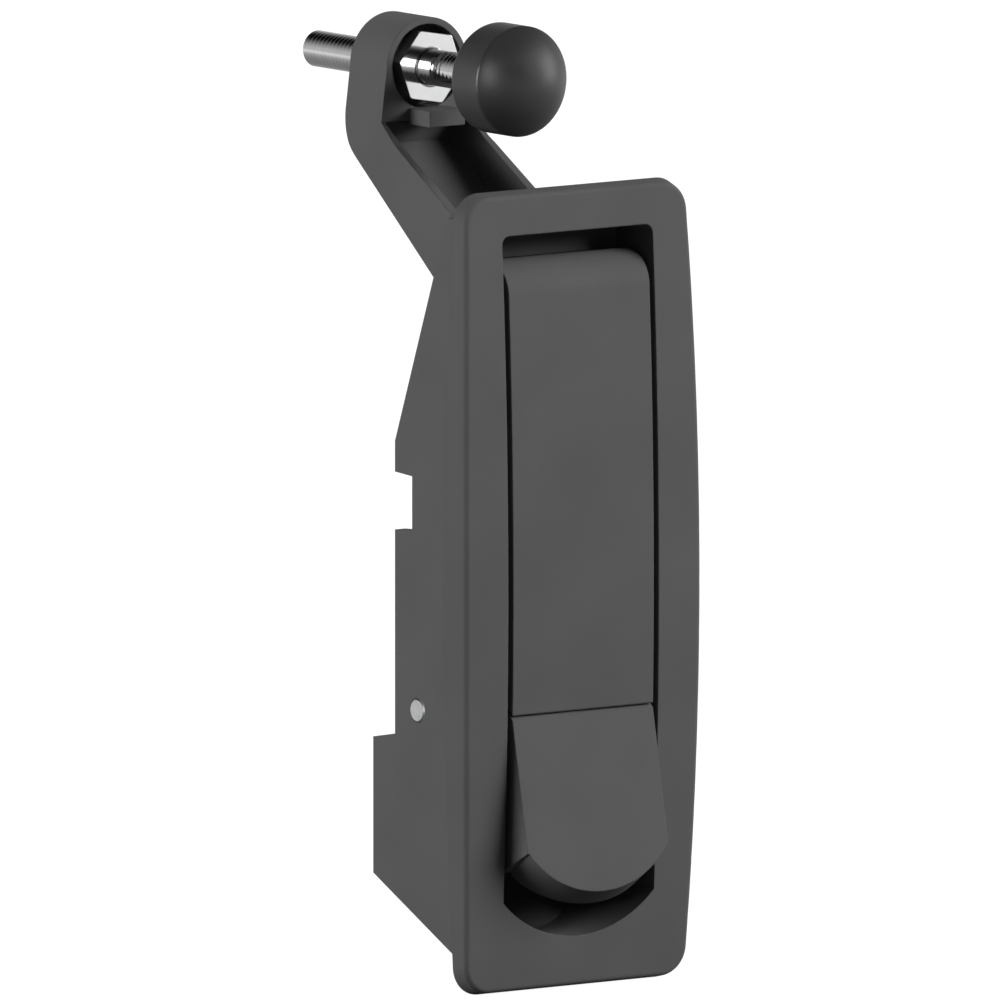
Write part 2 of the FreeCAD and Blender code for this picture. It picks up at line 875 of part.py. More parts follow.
def add_trigger_side(body, end_y):
    """Tilted front, slanted lip and rounded top, right across."""
    top_y = face_y(size.trigger_top)
    skirt_y = size.trigger_pivot_y + size.trigger_skirt_depth
    skirt_up = size.trigger_pivot_z + root(
        square(trigger_top_radius) - square(size.trigger_skirt_depth)
    )
    side = outline(body, "trigger_side", "YZ_Plane", [
        (top_y, size.trigger_top),
        (end_y, size.trigger_end),
        (end_y + size.lip_depth, size.trigger_end - size.lip_drop),
        (size.trigger_heel_y, size.trigger_heel_z),
        (skirt_y, size.trigger_skirt_end),
        (skirt_y, skirt_up, trigger_top_radius),
    ])
    pad(body, side, size.lever_width, both=True)


def hollow_trigger(body, end_y):
    """The hollow behind the front plate, cut square to the tilted front."""
    wall = size.trigger_wall
    half = half_lever - wall
    radius = size.trigger_arc_radius - wall
    side_up = wall + radius - root(square(radius) - square(half))
    top_up = (size.trigger_pivot_z + trigger_top_radius - size.trigger_end) + OVERSHOOT
    inset_up = size.trigger_end - wall * sine(size.trigger_tilt)
    inset = wall * cosine(size.trigger_tilt) + end_y
    hollow = outline(body, "trigger_hollow", "XZ_Plane", [
        (-half, side_up, radius),
        (half, side_up),
        (half, top_up),
        (-half, top_up),
    ], offset=-inset, tilt=(inset_up, -size.trigger_tilt))
    cut(body, hollow)


def trim_trigger_end(body, end_y):
    """Rounds the trigger's end, along the slant of its lip."""
    half = half_lever + OVERSHOOT
    radius = size.trigger_arc_radius
    centre_z = size.trigger_end + radius
    side_z = centre_z - root(square(radius) - square(half_lever))
    low = size.trigger_end - size.lip_drop - OVERSHOOT * 4
    trim = outline(body, "trigger_end_trim", "XZ_Plane", [
        (-half, low),
        (half, low),
        (half, side_z),
        (half_lever, side_z, -radius),
        (-half_lever, side_z),
        (-half, side_z),
    ], offset=-end_y)
    cut(body, trim, both=True, direction=(size.lip_depth, -size.lip_drop))


def add_trigger_hub(body):
    """Barrel round the pin, with a web that joins it to the front plate."""
    left = -size.trigger_hub_left
    length = size.trigger_hub_left + size.trigger_hub_right
    across = size.trigger_pivot_y
    up = size.trigger_pivot_z
    radius = size.trigger_hub_radius
    plate = face_y(size.trigger_top) - size.trigger_wall / 4
    hub = circles(body, "trigger_hub", "YZ_Plane", [(across, up, radius)], offset=left)
    pad(body, hub, length)
    web = outline(body, "trigger_web", "YZ_Plane", [
        (plate, up - radius),
        (across, up - radius),
        (across, up + radius / 2),
        (plate, up + radius / 2),
    ], offset=left)
    pad(body, web, length)


def add_hook(body):
    """The hook that holds the catch pin: a beam with a nose behind the pin."""
    nose_base_y = size.trigger_pivot_y + round_trigger_pivot(size.hook_beam_top, hook_radius)
    nose_tip_y = size.trigger_pivot_y + round_trigger_pivot(size.hook_nose_top, hook_radius)
    hub = size.trigger_hub_radius
    hook = outline(body, "hook_side", "YZ_Plane", [
        (size.trigger_pivot_y, size.hook_beam_top + hub / 4),
        (size.trigger_pivot_y, size.trigger_pivot_z - hub / 2),
        (size.trigger_pivot_y + hub, size.hook_beam_bottom),
        (nose_base_y + size.hook_nose_base / 2, size.hook_beam_bottom),
        (nose_base_y + size.hook_nose_base, size.trigger_pivot_z),
        (nose_tip_y + size.hook_nose_flat, size.hook_nose_top),
        (nose_tip_y, size.hook_nose_top, -hook_radius),
        (nose_base_y, size.hook_beam_top),
        (size.trigger_pivot_y + hub, size.hook_beam_top),
    ])
    pad(body, hook, size.hook_width, both=True)


def make_trigger():
    body = new_body("trigger")
    drop = size.trigger_end - size.trigger_top
    end_y = face_y(size.trigger_top) + drop * tangent(size.trigger_tilt)
    add_trigger_side(body, end_y)
    trim_trigger_end(body, end_y)
    hollow_trigger(body, end_y)
    add_trigger_hub(body)
    add_hook(body)
    bore = circles(body, "trigger_bore", "YZ_Plane", [
        (
            size.trigger_pivot_y,
            size.trigger_pivot_z,
            size.trigger_pin_radius + size.running_gap,
        ),
    ])
    cut(body, bore, both=True)
    return body


def bend_between(before, corner, after, radius):
    """The tangent arc that rounds the corner of a wire's path."""
    first = (before - corner).normalize()
    second = (after - corner).normalize()
    half = first.getAngle(second) / 2
    middle = (first + second).normalize()
    centre = corner + middle * (radius / math.sin(half))
    start = corner + first * (radius / math.tan(half))
    end = corner + second * (radius / math.tan(half))
    return start, centre - middle * radius, end


def wire_section(place, radius):
    """The spring wire's section across X, drawn as an octagon to keep it light."""
    corners = []
    for step in range(9):
        angle = step * math.pi / 4
        corners.append(place + Vector(0, radius * math.cos(angle), radius * math.sin(angle)))
    return Part.makePolygon(corners)


def make_trigger_spring():
    """Torsion spring: a close coil round the pin and a bent leg at each end.

    One leg lies under the hook and lifts it. The other is hooked into a lug.
    """
    wire = size.spring_wire.number / 2
    mean = size.spring_mean_radius.number
    pitch = size.spring_pitch.number
    left = size.spring_left.number
    bend = size.spring_bend.number
    axis = Vector(left, size.trigger_pivot_y.number, size.trigger_pivot_z.number)
    leg_z = size.hook_beam_bottom.number - wire - size.running_gap.number
    corner = Vector(left, axis.y + size.spring_leg_reach.number, leg_z)
    under_hook = Vector(0, corner.y, leg_z)
    # the leg meets the coil where a line from its corner touches the mean circle
    away = corner - axis
    swing = math.atan2(away.z, away.y) + math.acos(mean / math.hypot(away.y, away.z))
    turned = size.spring_turns.number * 2 * math.pi - swing
    coil = Part.makeHelix(pitch, pitch * turned / (2 * math.pi), mean)
    # the coil is drawn round Z from the X axis, then laid along X and turned to the leg
    lay_along_x = Rotation(Vector(1, 1, 1), 120)
    coil.Placement = Placement(axis, lay_along_x * Rotation(Vector(0, 0, 1), math.degrees(swing)))
    touch = coil.Edges[0].valueAt(coil.Edges[0].FirstParameter)
    leave = coil.Edges[-1].valueAt(coil.Edges[-1].LastParameter)
    anchor = Vector(leave.x, leave.y, size.spring_anchor_z.number)
    lug_outer = (half_lever - size.trigger_wall - size.lug_gap).number
    hooked = Vector(lug_outer - size.lug_thickness.number / 2, leave.y, anchor.z)
    first = bend_between(under_hook, corner, touch, bend)
    last = bend_between(leave, anchor, hooked, bend)
    path = Part.Wire([
        Part.LineSegment(under_hook, first[0]).toShape(),
        Part.Arc(*first).toShape(),
        Part.LineSegment(first[2], touch).toShape(),
        *coil.Edges,
        Part.LineSegment(leave, last[0]).toShape(),
        Part.Arc(*last).toShape(),
        Part.LineSegment(last[2], hooked).toShape(),
    ])
    section = wire_section(under_hook, wire)
    node = doc.addObject("Part::Feature", "trigger_spring")
    node.Label = "trigger_spring"
    node.Shape = path.makePipeShell([section], True, False)
    SOLID_NODES.append(node)
    return node


# Adjusting screw, nut and bumper: each turned about its own Z axis, which is laid along -Y

def lay_forward(body, back_y):
    """Stands the body's Z axis along -Y on the screw's line, from back_y."""
    body.Placement = Placement(Vector(0, 0, 0), Rotation(Vector(1, 0, 0), 90))
    body.setExpression("Placement.Base.y", back_y.formula)
    body.setExpression("Placement.Base.z", size.screw_z.formula)


def make_screw():
    body = new_body("adjusting_screw")
    radius = size.screw_radius - size.screw_gap
    length = size.screw_rear - size.bumper_base + size.screw_seat_depth
    point = size.screw_point
    centre = radius * 0
    half = outline(body, "screw_half", "XZ_Plane", [
        (centre, centre),
        (radius - point, centre),
        (radius, point),
        (radius, length),
        (centre, length),
    ])
    revolve(body, half)
    lay_forward(body, size.screw_rear)
    return body


def make_nut():
    body = new_body("jam_nut")
    corner = size.nut_across_flats / root(size_of(3))
    corners = []
    for step in range(6):
        angle = size_of(60 * step) + size.nut_turn
        corners.append((corner * cosine(angle), corner * sine(angle)))
    pad(body, outline(body, "nut_hexagon", "XY_Plane", corners), size.nut_thickness)
    flat = size.nut_across_flats / 2
    leg = corner - flat + size.nut_chamfer
    drop = leg * tangent(size_of(30))
    inner = flat - size.nut_chamfer
    past = corner + OVERSHOOT
    past_drop = (past - inner) * tangent(size_of(30))
    for name, end, inward in (("front", size.nut_thickness, -1), ("back", drop * 0, 1)):
        bevel = outline(body, f"nut_bevel_{name}", "XZ_Plane", [
            (inner, end),
            (past, end + past_drop * inward),
            (past, end),
        ])
        groove(body, bevel)
    bore = circles(body, "nut_bore", "XY_Plane", [(flat * 0, flat * 0, size.screw_radius)])
    cut(body, bore, both=True)
    lay_forward(body, size.arm_head_front + size.nut_recess_depth)
    return body


def make_bumper():
    body = new_body("bumper")
    radius = size.bumper_radius
    rise = size.bumper_length - size.bumper_barrel
    edge = size.bumper_edge
    shoulder = size.bumper_shoulder
    centre = radius * 0
    dome = (square(radius) + square(rise)) / (rise * 2)
    dome_z = size.bumper_length - dome
    # the shoulder is an arc that touches both the barrel and the dome
    shoulder_z = dome_z + root(square(dome - shoulder) - square(radius - shoulder))
    share = dome / (dome - shoulder)
    half = outline(body, "bumper_half", "XZ_Plane", [
        (size.screw_radius, centre),
        (radius - edge, centre),
        (radius, edge),
        (radius, shoulder_z, shoulder),
        ((radius - shoulder) * share, dome_z + (shoulder_z - dome_z) * share, dome),
        (centre, size.bumper_length),
        (centre, size.screw_seat_depth),
        (size.screw_radius, size.screw_seat_depth),
    ])
    revolve(body, half)
    lay_forward(body, size.bumper_base)
    return body


def check_document():
    """Stops before anything is written if an object has failed."""
    for thing in doc.Objects:
        if {"Invalid", "Error"} & set(thing.State):
            raise RuntimeError(f"{thing.Label} failed: {thing.State}")
    for node in SOLID_NODES:
        if node.Shape.isNull() or not node.Shape.isValid():
            raise RuntimeError(f"{node.Label} has no valid shape")


make_housing()
make_pin("pivot_pin", size.pivot_y, size.pivot_z, size.pin_radius, casing_width - size.pin_edge)
make_pin(
    "catch_pin",
    size.catch_y,
    size.catch_z,
    size.pin_radius,
    casing_width + size.catch_pin_stand * 2,
)
make_washers()
make_lever()
make_arm()
make_pin(
    "arm_pin",
    size.arm_pin_y,
    size.arm_pin_z,
    size.arm_pin_radius,
    size.lever_width - size.pin_edge,
)
make_trigger()
make_pin(
    "trigger_pin",
    size.trigger_pivot_y,
    size.trigger_pivot_z,
    size.trigger_pin_radius,
    size.lever_width - size.pin_edge,
)
make_trigger_spring()
make_screw()
make_nut()
make_bumper()
doc.recompute()
check_document()

os.makedirs("parts", exist_ok=True)
for node in SOLID_NODES:
    node.Shape.exportStep(os.path.join("parts", node.Label + ".step"))
    print(node.Label, len(node.Shape.Solids), round(node.Shape.Volume, 1))
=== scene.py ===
import bmesh
import bpy
import numpy as np
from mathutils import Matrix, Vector


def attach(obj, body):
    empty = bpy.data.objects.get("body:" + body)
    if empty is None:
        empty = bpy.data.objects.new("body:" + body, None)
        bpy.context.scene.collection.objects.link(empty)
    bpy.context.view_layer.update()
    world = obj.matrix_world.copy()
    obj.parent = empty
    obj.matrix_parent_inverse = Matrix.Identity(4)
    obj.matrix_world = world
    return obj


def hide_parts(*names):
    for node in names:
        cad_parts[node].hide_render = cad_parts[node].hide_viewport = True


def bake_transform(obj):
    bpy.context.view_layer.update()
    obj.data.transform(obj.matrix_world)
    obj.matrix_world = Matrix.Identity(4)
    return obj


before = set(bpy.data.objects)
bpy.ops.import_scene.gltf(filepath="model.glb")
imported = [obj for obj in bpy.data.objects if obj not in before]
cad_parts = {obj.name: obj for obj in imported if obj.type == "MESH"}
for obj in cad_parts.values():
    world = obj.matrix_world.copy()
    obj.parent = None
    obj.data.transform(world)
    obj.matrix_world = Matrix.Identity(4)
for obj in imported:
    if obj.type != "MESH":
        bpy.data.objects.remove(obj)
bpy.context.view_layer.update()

MM = 0.001

# Sizes are in millimetres and degrees, rows and columns are counts of points

# Screw and bumper as the solids have them
SCREW_Z = 80.6
SCREW_REAR = 69.1
SCREW_FRONT = 13.0
SCREW_RADIUS = 2.97
SCREW_POINT = 0.8
THREAD_PITCH = 1.0
THREAD_DEPTH = 0.014
SCREW_STEP = 0.1
SCREW_COLUMNS = 96
BUMPER_BASE = 19.4
BUMPER_RADIUS = 9.0
BUMPER_BARREL = 7.2
BUMPER_LENGTH = 10.9
BUMPER_EDGE = 0.6
BUMPER_SHOULDER = 0.9
BUMPER_BORE = 3.0
BUMPER_BORE_DEPTH = 6.4
BUMPER_MOUTH = 0.2
BARREL_INSET = 0.3
BARREL_ROWS = 12
EDGE_ROWS = 10
SHOULDER_ROWS = 14
DOME_ROWS = 40
BUMPER_COLUMNS = 144

# Jam nut, with the corners of both faces only just broken
NUT_FLATS = 11.0
NUT_TURN = -10.0
NUT_REAR = 42.0
NUT_THICKNESS = 5.0
NUT_SEAT_GAP = 0.02
NUT_FACE_RADIUS = 6.2
NUT_CHAMFER_ANGLE = 30.0
NUT_BORE = 3.0
NUT_COUNTERSINK = 0.3

# Return spring of the trigger, as the solid has it
SPRING_WIRE = 0.7
SPRING_MEAN_RADIUS = 2.05
SPRING_PITCH = 0.9
SPRING_TURNS = 5
SPRING_LEFT = 3.9
SPRING_REACH = 7.5
SPRING_BEND = 1.0
SPRING_ANCHOR_Z = -17.5
SPRING_HOOKED_X = 10.4
SPRING_LEG_Z = -26.4
COIL_ROWS = 240
BEND_ROWS = 12
LEG_ROWS = 10
WIRE_COLUMNS = 16
TRIGGER_PIVOT = (0.0, -24.5)

FLOOR_Z = -65.0
FLOOR_REACH = 4000.0

# Points of a mesh that lie closer than this are one, in metres
SAME_POINT = 1e-7

# Camera: a long lens, so that the latch is drawn almost without perspective. Its view's
# width and clips are in metres
LENS = 1700.0
SENSOR = 36.0
VIEW_WIDTH = 0.16085
VIEW_CENTRE = (-13.24, 0.0, 14.94)
VIEW_BACK = (-0.58406, -0.80161, 0.12761)
CLIP_NEAR = 0.1
CLIP_FAR = 100.0


def linear(hex_colour):
    """An sRGB hex colour as linear light, with full alpha."""
    share = np.array([int(hex_colour[i:i + 2], 16) for i in (0, 2, 4)]) / 255
    bright = ((share + 0.055) / 1.055) ** 2.4
    return (*np.where(share <= 0.04045, share / 12.92, bright), 1.0)


# Meshes

def lay_grid(name, grid, closed=True, smooth=True):
    """A mesh of the grid's points (rows, columns, xyz in mm).

    A closed one has its last column joined to its first. Points that coincide, such as a
    pole's, become one.
    """
    rows, columns = grid.shape[:2]
    across = columns if closed else columns - 1
    row, column = np.meshgrid(np.arange(rows - 1), np.arange(across), indexing="ij")
    following = (column + 1) % columns
    corners = np.stack([
        row * columns + column,
        (row + 1) * columns + column,
        (row + 1) * columns + following,
        row * columns + following,
    ], axis=-1).reshape(-1, 4)
    mesh = bpy.data.meshes.new(name)
    mesh.from_pydata((grid.reshape(-1, 3) * MM).tolist(), [], corners.tolist())
    work = bmesh.new()
    work.from_mesh(mesh)
    bmesh.ops.remove_doubles(work, verts=work.verts, dist=SAME_POINT)
    bmesh.ops.recalc_face_normals(work, faces=work.faces)
    work.to_mesh(mesh)
    work.free()
    mesh.polygons.foreach_set("use_smooth", np.full(len(mesh.polygons), smooth))
    made = bpy.data.objects.new(name, mesh)
    bpy.context.scene.collection.objects.link(made)
    return made


def turned(name, along, radius, columns, shift=None):
    """A profile turned round the screw's line.

    Point = (radius cos t, along, screw height + radius sin t), t once round.
    shift, if given, is added to the radius at each row and column.
    """
    turn = np.linspace(0, 2 * np.pi, columns, endpoint=False)
    change = np.zeros_like(turn) if shift is None else shift(along[:, None], turn)
    reach = radius[:, None] + change
    grid = np.stack([
        reach * np.cos(turn),
        np.broadcast_to(along[:, None], reach.shape),
        SCREW_Z + reach * np.sin(turn),
    ], axis=-1)
    return lay_grid(name, grid)


def arc(centre, radius, start, end, count):
    """Points on a circle, centre + radius (cos a, sin a), a from start to end in degrees."""
    angle = np.radians(np.linspace(start, end, count))
    return np.asarray(centre) + radius * np.stack([np.cos(angle), np.sin(angle)], axis=-1)


def make_screw():
    """A headless screw: a coned rear end and a fine thread on to its flat front end.

    Radius = screw radius - depth (1 - cos(2 pi along / pitch - t)) / 2, t once round. The
    depth grows from nothing over the first pitch in front of the cone.
    """
    shank_rear = SCREW_REAR - SCREW_POINT
    shank = np.arange(shank_rear - SCREW_STEP, SCREW_FRONT + SCREW_STEP, -SCREW_STEP)
    rear = [SCREW_REAR, SCREW_REAR, shank_rear]
    along = np.concatenate([rear, shank, [SCREW_FRONT, SCREW_FRONT]])
    radius = np.full(len(along), SCREW_RADIUS)
    radius[0] = 0.0
    radius[1] = SCREW_RADIUS - SCREW_POINT
    radius[-1] = 0.0

    def thread(place, turn):
        fade = np.clip((shank_rear - place) / THREAD_PITCH, 0, 1)
        wave = 0.5 - 0.5 * np.cos(2 * np.pi * place / THREAD_PITCH - turn)
        return -THREAD_DEPTH * wave * fade * (place > SCREW_FRONT)

    return turned("threaded_screw", along, radius, SCREW_COLUMNS, thread)


def make_nut():
    """A hexagon nut round the screw's line, with a countersunk bore.

    Reach at turn t = half the flats / cos(angle from the middle of its side). Past the
    face's circle each face falls back by (reach - circle) tan(chamfer angle).
    """
    # a column at every degree, so that each corner falls on one
    turn = np.radians(np.arange(360))
    side = np.pi / 3
    reach = NUT_FLATS / 2 / np.cos((turn - np.radians(NUT_TURN)) % side - side / 2)
    face = np.minimum(reach, NUT_FACE_RADIUS)
    drop = (reach - face) * np.tan(np.radians(NUT_CHAMFER_ANGLE))
    rear = NUT_REAR - NUT_SEAT_GAP
    front = NUT_REAR - NUT_THICKNESS
    bore = np.full(len(turn), NUT_BORE)
    mouth = bore + NUT_COUNTERSINK
    level = np.ones(len(turn))
    rows = (
        (bore, level * (front + NUT_COUNTERSINK)), (mouth, level * front), (face, level * front),
        (reach, front + drop), (reach, rear - drop), (face, level * rear), (mouth, level * rear),
        (bore, level * (rear - NUT_COUNTERSINK)), (bore, level * (front + NUT_COUNTERSINK)),
    )
    grid = np.stack([
        np.stack([radius * np.cos(turn), along, SCREW_Z + radius * np.sin(turn)], axis=-1)
        for radius, along in rows
    ])
    return lay_grid("hexagon_nut", grid, smooth=False)


def make_bumper():
    """A moulded bumper: barrel, rounded shoulder and a domed face.

    Its profile is arcs and straight runs of (along, radius), from the bore to the tip.
    Radius of the dome = (barrel radius^2 + rise^2) / (2 rise).
    """
    rise = BUMPER_LENGTH - BUMPER_BARREL
    dome = (BUMPER_RADIUS ** 2 + rise ** 2) / (2 * rise)
    inner = BUMPER_RADIUS - BUMPER_SHOULDER
    # the dome's centre lies on the screw's line, the shoulder's inside the barrel
    centre_y = BUMPER_BASE - BUMPER_LENGTH + dome
    reach = np.sqrt((dome - BUMPER_SHOULDER) ** 2 - inner ** 2)
    shoulder_y = centre_y - reach
    meets = np.degrees(np.arctan2(inner, -reach))
    bore_end = BUMPER_BASE - BUMPER_BORE_DEPTH
    barrel_base = BUMPER_BASE - BUMPER_EDGE - BARREL_INSET
    barrel = np.linspace(barrel_base, shoulder_y + BARREL_INSET, BARREL_ROWS)
    edge_centre = (BUMPER_BASE - BUMPER_EDGE, BUMPER_RADIUS - BUMPER_EDGE)
    profile = np.concatenate([
        [(bore_end, 0.0), (bore_end, BUMPER_BORE)],
        [(BUMPER_BASE - BUMPER_MOUTH, BUMPER_BORE), (BUMPER_BASE, BUMPER_BORE + BUMPER_MOUTH)],
        arc(edge_centre, BUMPER_EDGE, 0, 90, EDGE_ROWS),
        np.stack([barrel, np.full(len(barrel), BUMPER_RADIUS)], axis=-1),
        arc((shoulder_y, inner), BUMPER_SHOULDER, 90, meets, SHOULDER_ROWS),
        arc((centre_y, 0.0), dome, meets, 180, DOME_ROWS)[1:],
    ])
    return turned("domed_bumper", profile[:, 0], profile[:, 1], BUMPER_COLUMNS)


def unit(vectors):
    return vectors / np.linalg.norm(vectors, axis=-1, keepdims=True)


def run(start, end, count):
    """Points from start to end along a straight line, without the last."""
    return start + (end - start) * np.linspace(0, 1, count, endpoint=False)[:, None]


def bend(before, corner, after, radius, count):
    """Points on the arc of that radius that rounds the corner between two straight runs.

    Point = centre + (start sin((1 - s) w) + end sin(s w)) / sin w, s from 0 to 1, where w
    is the arc's sweep, and start and end lead from its centre to its ends.
    """
    first = unit(before - corner)
    second = unit(after - corner)
    half = np.arccos(first @ second) / 2
    middle = unit(first + second)
    centre = corner + middle * radius / np.sin(half)
    start = corner + first * radius / np.tan(half) - centre
    end = corner + second * radius / np.tan(half) - centre
    share = np.linspace(0, 1, count)[:, None]
    sweep = np.pi - 2 * half
    swung = np.sin((1 - share) * sweep) * start + np.sin(share * sweep) * end
    return centre + swung / np.sin(sweep)


def make_spring():
    """The trigger's torsion spring in round wire: a coil along X and two bent legs.

    Coil point = (left + pitch (a - first a) / 2 pi, pivot + mean radius (cos a, sin a)).
    The wire's skin lies half a wire off the path, once round the path's direction.
    """
    axis = np.array([SPRING_LEFT, *TRIGGER_PIVOT])
    corner = np.array([SPRING_LEFT, TRIGGER_PIVOT[0] + SPRING_REACH, SPRING_LEG_Z])
    under_hook = corner * (0, 1, 1)
    away = corner - axis
    reach = np.hypot(away[1], away[2])
    swing = np.arctan2(away[2], away[1]) + np.arccos(SPRING_MEAN_RADIUS / reach)
    angle = np.linspace(swing, SPRING_TURNS * 2 * np.pi, COIL_ROWS)
    coil = axis + np.stack([
        SPRING_PITCH * (angle - swing) / (2 * np.pi),
        SPRING_MEAN_RADIUS * np.cos(angle),
        SPRING_MEAN_RADIUS * np.sin(angle),
    ], axis=-1)
    anchor = np.array([coil[-1, 0], coil[-1, 1], SPRING_ANCHOR_Z])
    hooked = np.array([SPRING_HOOKED_X, coil[-1, 1], SPRING_ANCHOR_Z])
    first = bend(under_hook, corner, coil[0], SPRING_BEND, BEND_ROWS)
    last = bend(coil[-1], anchor, hooked, SPRING_BEND, BEND_ROWS)
    leg = run(first[-1], coil[0], LEG_ROWS)[1:]
    tail = run(coil[-1], last[0], LEG_ROWS)[1:]
    path = np.concatenate([[under_hook], first, leg, coil, tail, last, [hooked]])
    # a side direction that stays square to the path: off the bend's plane, then along X
    along_x = np.array([1.0, 0.0, 0.0])
    first_side = unit(np.cross(along_x, coil[0] - corner))
    last_side = unit(np.cross(along_x, anchor - coil[-1]))
    blend = np.concatenate([
        np.zeros(1 + len(first)), np.linspace(0, 1, len(leg)), np.ones(len(coil)),
        np.linspace(1, 0, len(tail)), np.zeros(len(last) + 1),
    ])[:, None]
    early = np.arange(len(path))[:, None] < len(path) / 2
    side = blend * along_x + (1 - blend) * np.where(early, first_side, last_side)
    forward = unit(np.gradient(path, axis=0))
    across = unit(np.cross(side, forward))
    upright = np.cross(forward, across)
    turn = np.linspace(0, 2 * np.pi, WIRE_COLUMNS, endpoint=False)[:, None]
    skin = path[:, None] + SPRING_WIRE / 2 * (
        np.cos(turn) * across[:, None] + np.sin(turn) * upright[:, None]
    )
    ends = np.broadcast_to(path[[0, -1], None], (2, len(turn), 3))
    return lay_grid("coiled_spring", np.concatenate([ends[:1], skin, ends[1:]]))


# Materials

def new_material(name):
    made = bpy.data.materials.new(name)
    made.use_nodes = True
    made.node_tree.nodes.clear()
    return made, made.node_tree


def add_node(tree, kind, inputs, **settings):
    """One node with its settings. An input is a number, a colour, a node or a node's output.

    A node alone stands for its first output. A pair names the node and the output.
    """
    made = tree.nodes.new(kind)
    for name, value in settings.items():
        setattr(made, name, value)
    for socket, value in inputs.items():
        if isinstance(value, bpy.types.Node):
            tree.links.new(value.outputs[0], made.inputs[socket])
        elif isinstance(value, tuple) and isinstance(value[0], bpy.types.Node):
            tree.links.new(value[0].outputs[value[1]], made.inputs[socket])
        else:
            made.inputs[socket].default_value = value
    return made


# a mix node's sockets for two colours
SHARE, FIRST, SECOND, MIXED = 0, 6, 7, 2


def powder_coat():
    """Black polyester powder coat, sprayed on a zinc casting and baked.

    To the eye: an even, dull charcoal, a fine orange peel, edges rounded by the coat.
    """
    made, tree = new_material("powder_coat_satin_black")
    place = (add_node(tree, "ShaderNodeTexCoord", {}), "Object")
    # orange peel is about 0.5 mm wide, drawn at 0.9 mm so that it shows
    peel = add_node(tree, "ShaderNodeTexNoise", {
        "Vector": place, "Scale": 1 / (0.9 * MM), "Detail": 2.0,
    })
    speck = add_node(tree, "ShaderNodeTexNoise", {
        "Vector": place, "Scale": 1 / (0.25 * MM), "Detail": 1.0,
    })
    cloud = add_node(tree, "ShaderNodeTexNoise", {
        "Vector": place, "Scale": 1 / (14 * MM), "Detail": 3.0,
    })
    edge = add_node(tree, "ShaderNodeBevel", {"Radius": 0.3 * MM}, samples=4)
    soft = add_node(tree, "ShaderNodeBump", {
        "Height": peel, "Strength": 0.22, "Distance": 0.03 * MM, "Normal": edge,
    })
    bump = add_node(tree, "ShaderNodeBump", {
        "Height": speck, "Strength": 0.12, "Distance": 0.01 * MM, "Normal": soft,
    })
    colour = add_node(tree, "ShaderNodeMix", {
        SHARE: cloud, FIRST: linear("4d4d4d"), SECOND: linear("565656"),
    }, data_type="RGBA")
    rough = add_node(tree, "ShaderNodeMapRange", {"Value": speck, "To Min": 0.6, "To Max": 0.78})
    shader = add_node(tree, "ShaderNodeBsdfPrincipled", {
        "Base Color": (colour, MIXED),
        "Roughness": rough,
        "Specular IOR Level": 0.16,
        "IOR": 1.5,
        "Normal": bump,
    })
    add_node(tree, "ShaderNodeOutputMaterial", {"Surface": shader})
    return made


def bright_zinc():
    """Bright zinc plating on turned steel.

    To the eye: a near mirror, bluish white, with a light haze and the finest grain.
    """
    made, tree = new_material("bright_zinc_plate")
    place = (add_node(tree, "ShaderNodeTexCoord", {}), "Object")
    haze = add_node(tree, "ShaderNodeTexNoise", {
        "Vector": place, "Scale": 1 / (2.5 * MM), "Detail": 3.0,
    })
    fine = add_node(tree, "ShaderNodeTexNoise", {
        "Vector": place, "Scale": 1 / (0.3 * MM), "Detail": 1.0,
    })
    edge = add_node(tree, "ShaderNodeBevel", {"Radius": 0.15 * MM}, samples=4)
    bump = add_node(tree, "ShaderNodeBump", {
        "Height": fine, "Strength": 0.08, "Distance": 0.01 * MM, "Normal": edge,
    })
    colour = add_node(tree, "ShaderNodeMix", {
        SHARE: haze, FIRST: linear("c9cacb"), SECOND: linear("dcdcdb"),
    }, data_type="RGBA")
    rough = add_node(tree, "ShaderNodeMapRange", {"Value": haze, "To Min": 0.05, "To Max": 0.12})
    shader = add_node(tree, "ShaderNodeBsdfPrincipled", {
        "Base Color": (colour, MIXED),
        "Metallic": 1.0,
        "Roughness": rough,
        "Normal": bump,
    })
    add_node(tree, "ShaderNodeOutputMaterial", {"Surface": shader})
    return made


def ground_steel():
    """Plain steel pin, centreless ground.

    To the eye: soft grey with a dull sheen and a slightly uneven end face.
    """
    made, tree = new_material("ground_steel_pin")
    place = (add_node(tree, "ShaderNodeTexCoord", {}), "Object")
    haze = add_node(tree, "ShaderNodeTexNoise", {
        "Vector": place, "Scale": 1 / (0.8 * MM), "Detail": 3.0,
    })
    fine = add_node(tree, "ShaderNodeTexNoise", {
        "Vector": place, "Scale": 1 / (0.12 * MM), "Detail": 1.0,
    })
    bump = add_node(tree, "ShaderNodeBump", {
        "Height": fine, "Strength": 0.12, "Distance": 0.01 * MM,
    })
    colour = add_node(tree, "ShaderNodeMix", {
        SHARE: haze, FIRST: linear("c0c1c3"), SECOND: linear("d0d1d2"),
    }, data_type="RGBA")
    rough = add_node(tree, "ShaderNodeMapRange", {"Value": haze, "To Min": 0.28, "To Max": 0.46})
    shader = add_node(tree, "ShaderNodeBsdfPrincipled", {
        "Base Color": (colour, MIXED),
        "Metallic": 1.0,
        "Roughness": rough,
        "Normal": bump,
    })
    add_node(tree, "ShaderNodeOutputMaterial", {"Surface": shader})
    return made


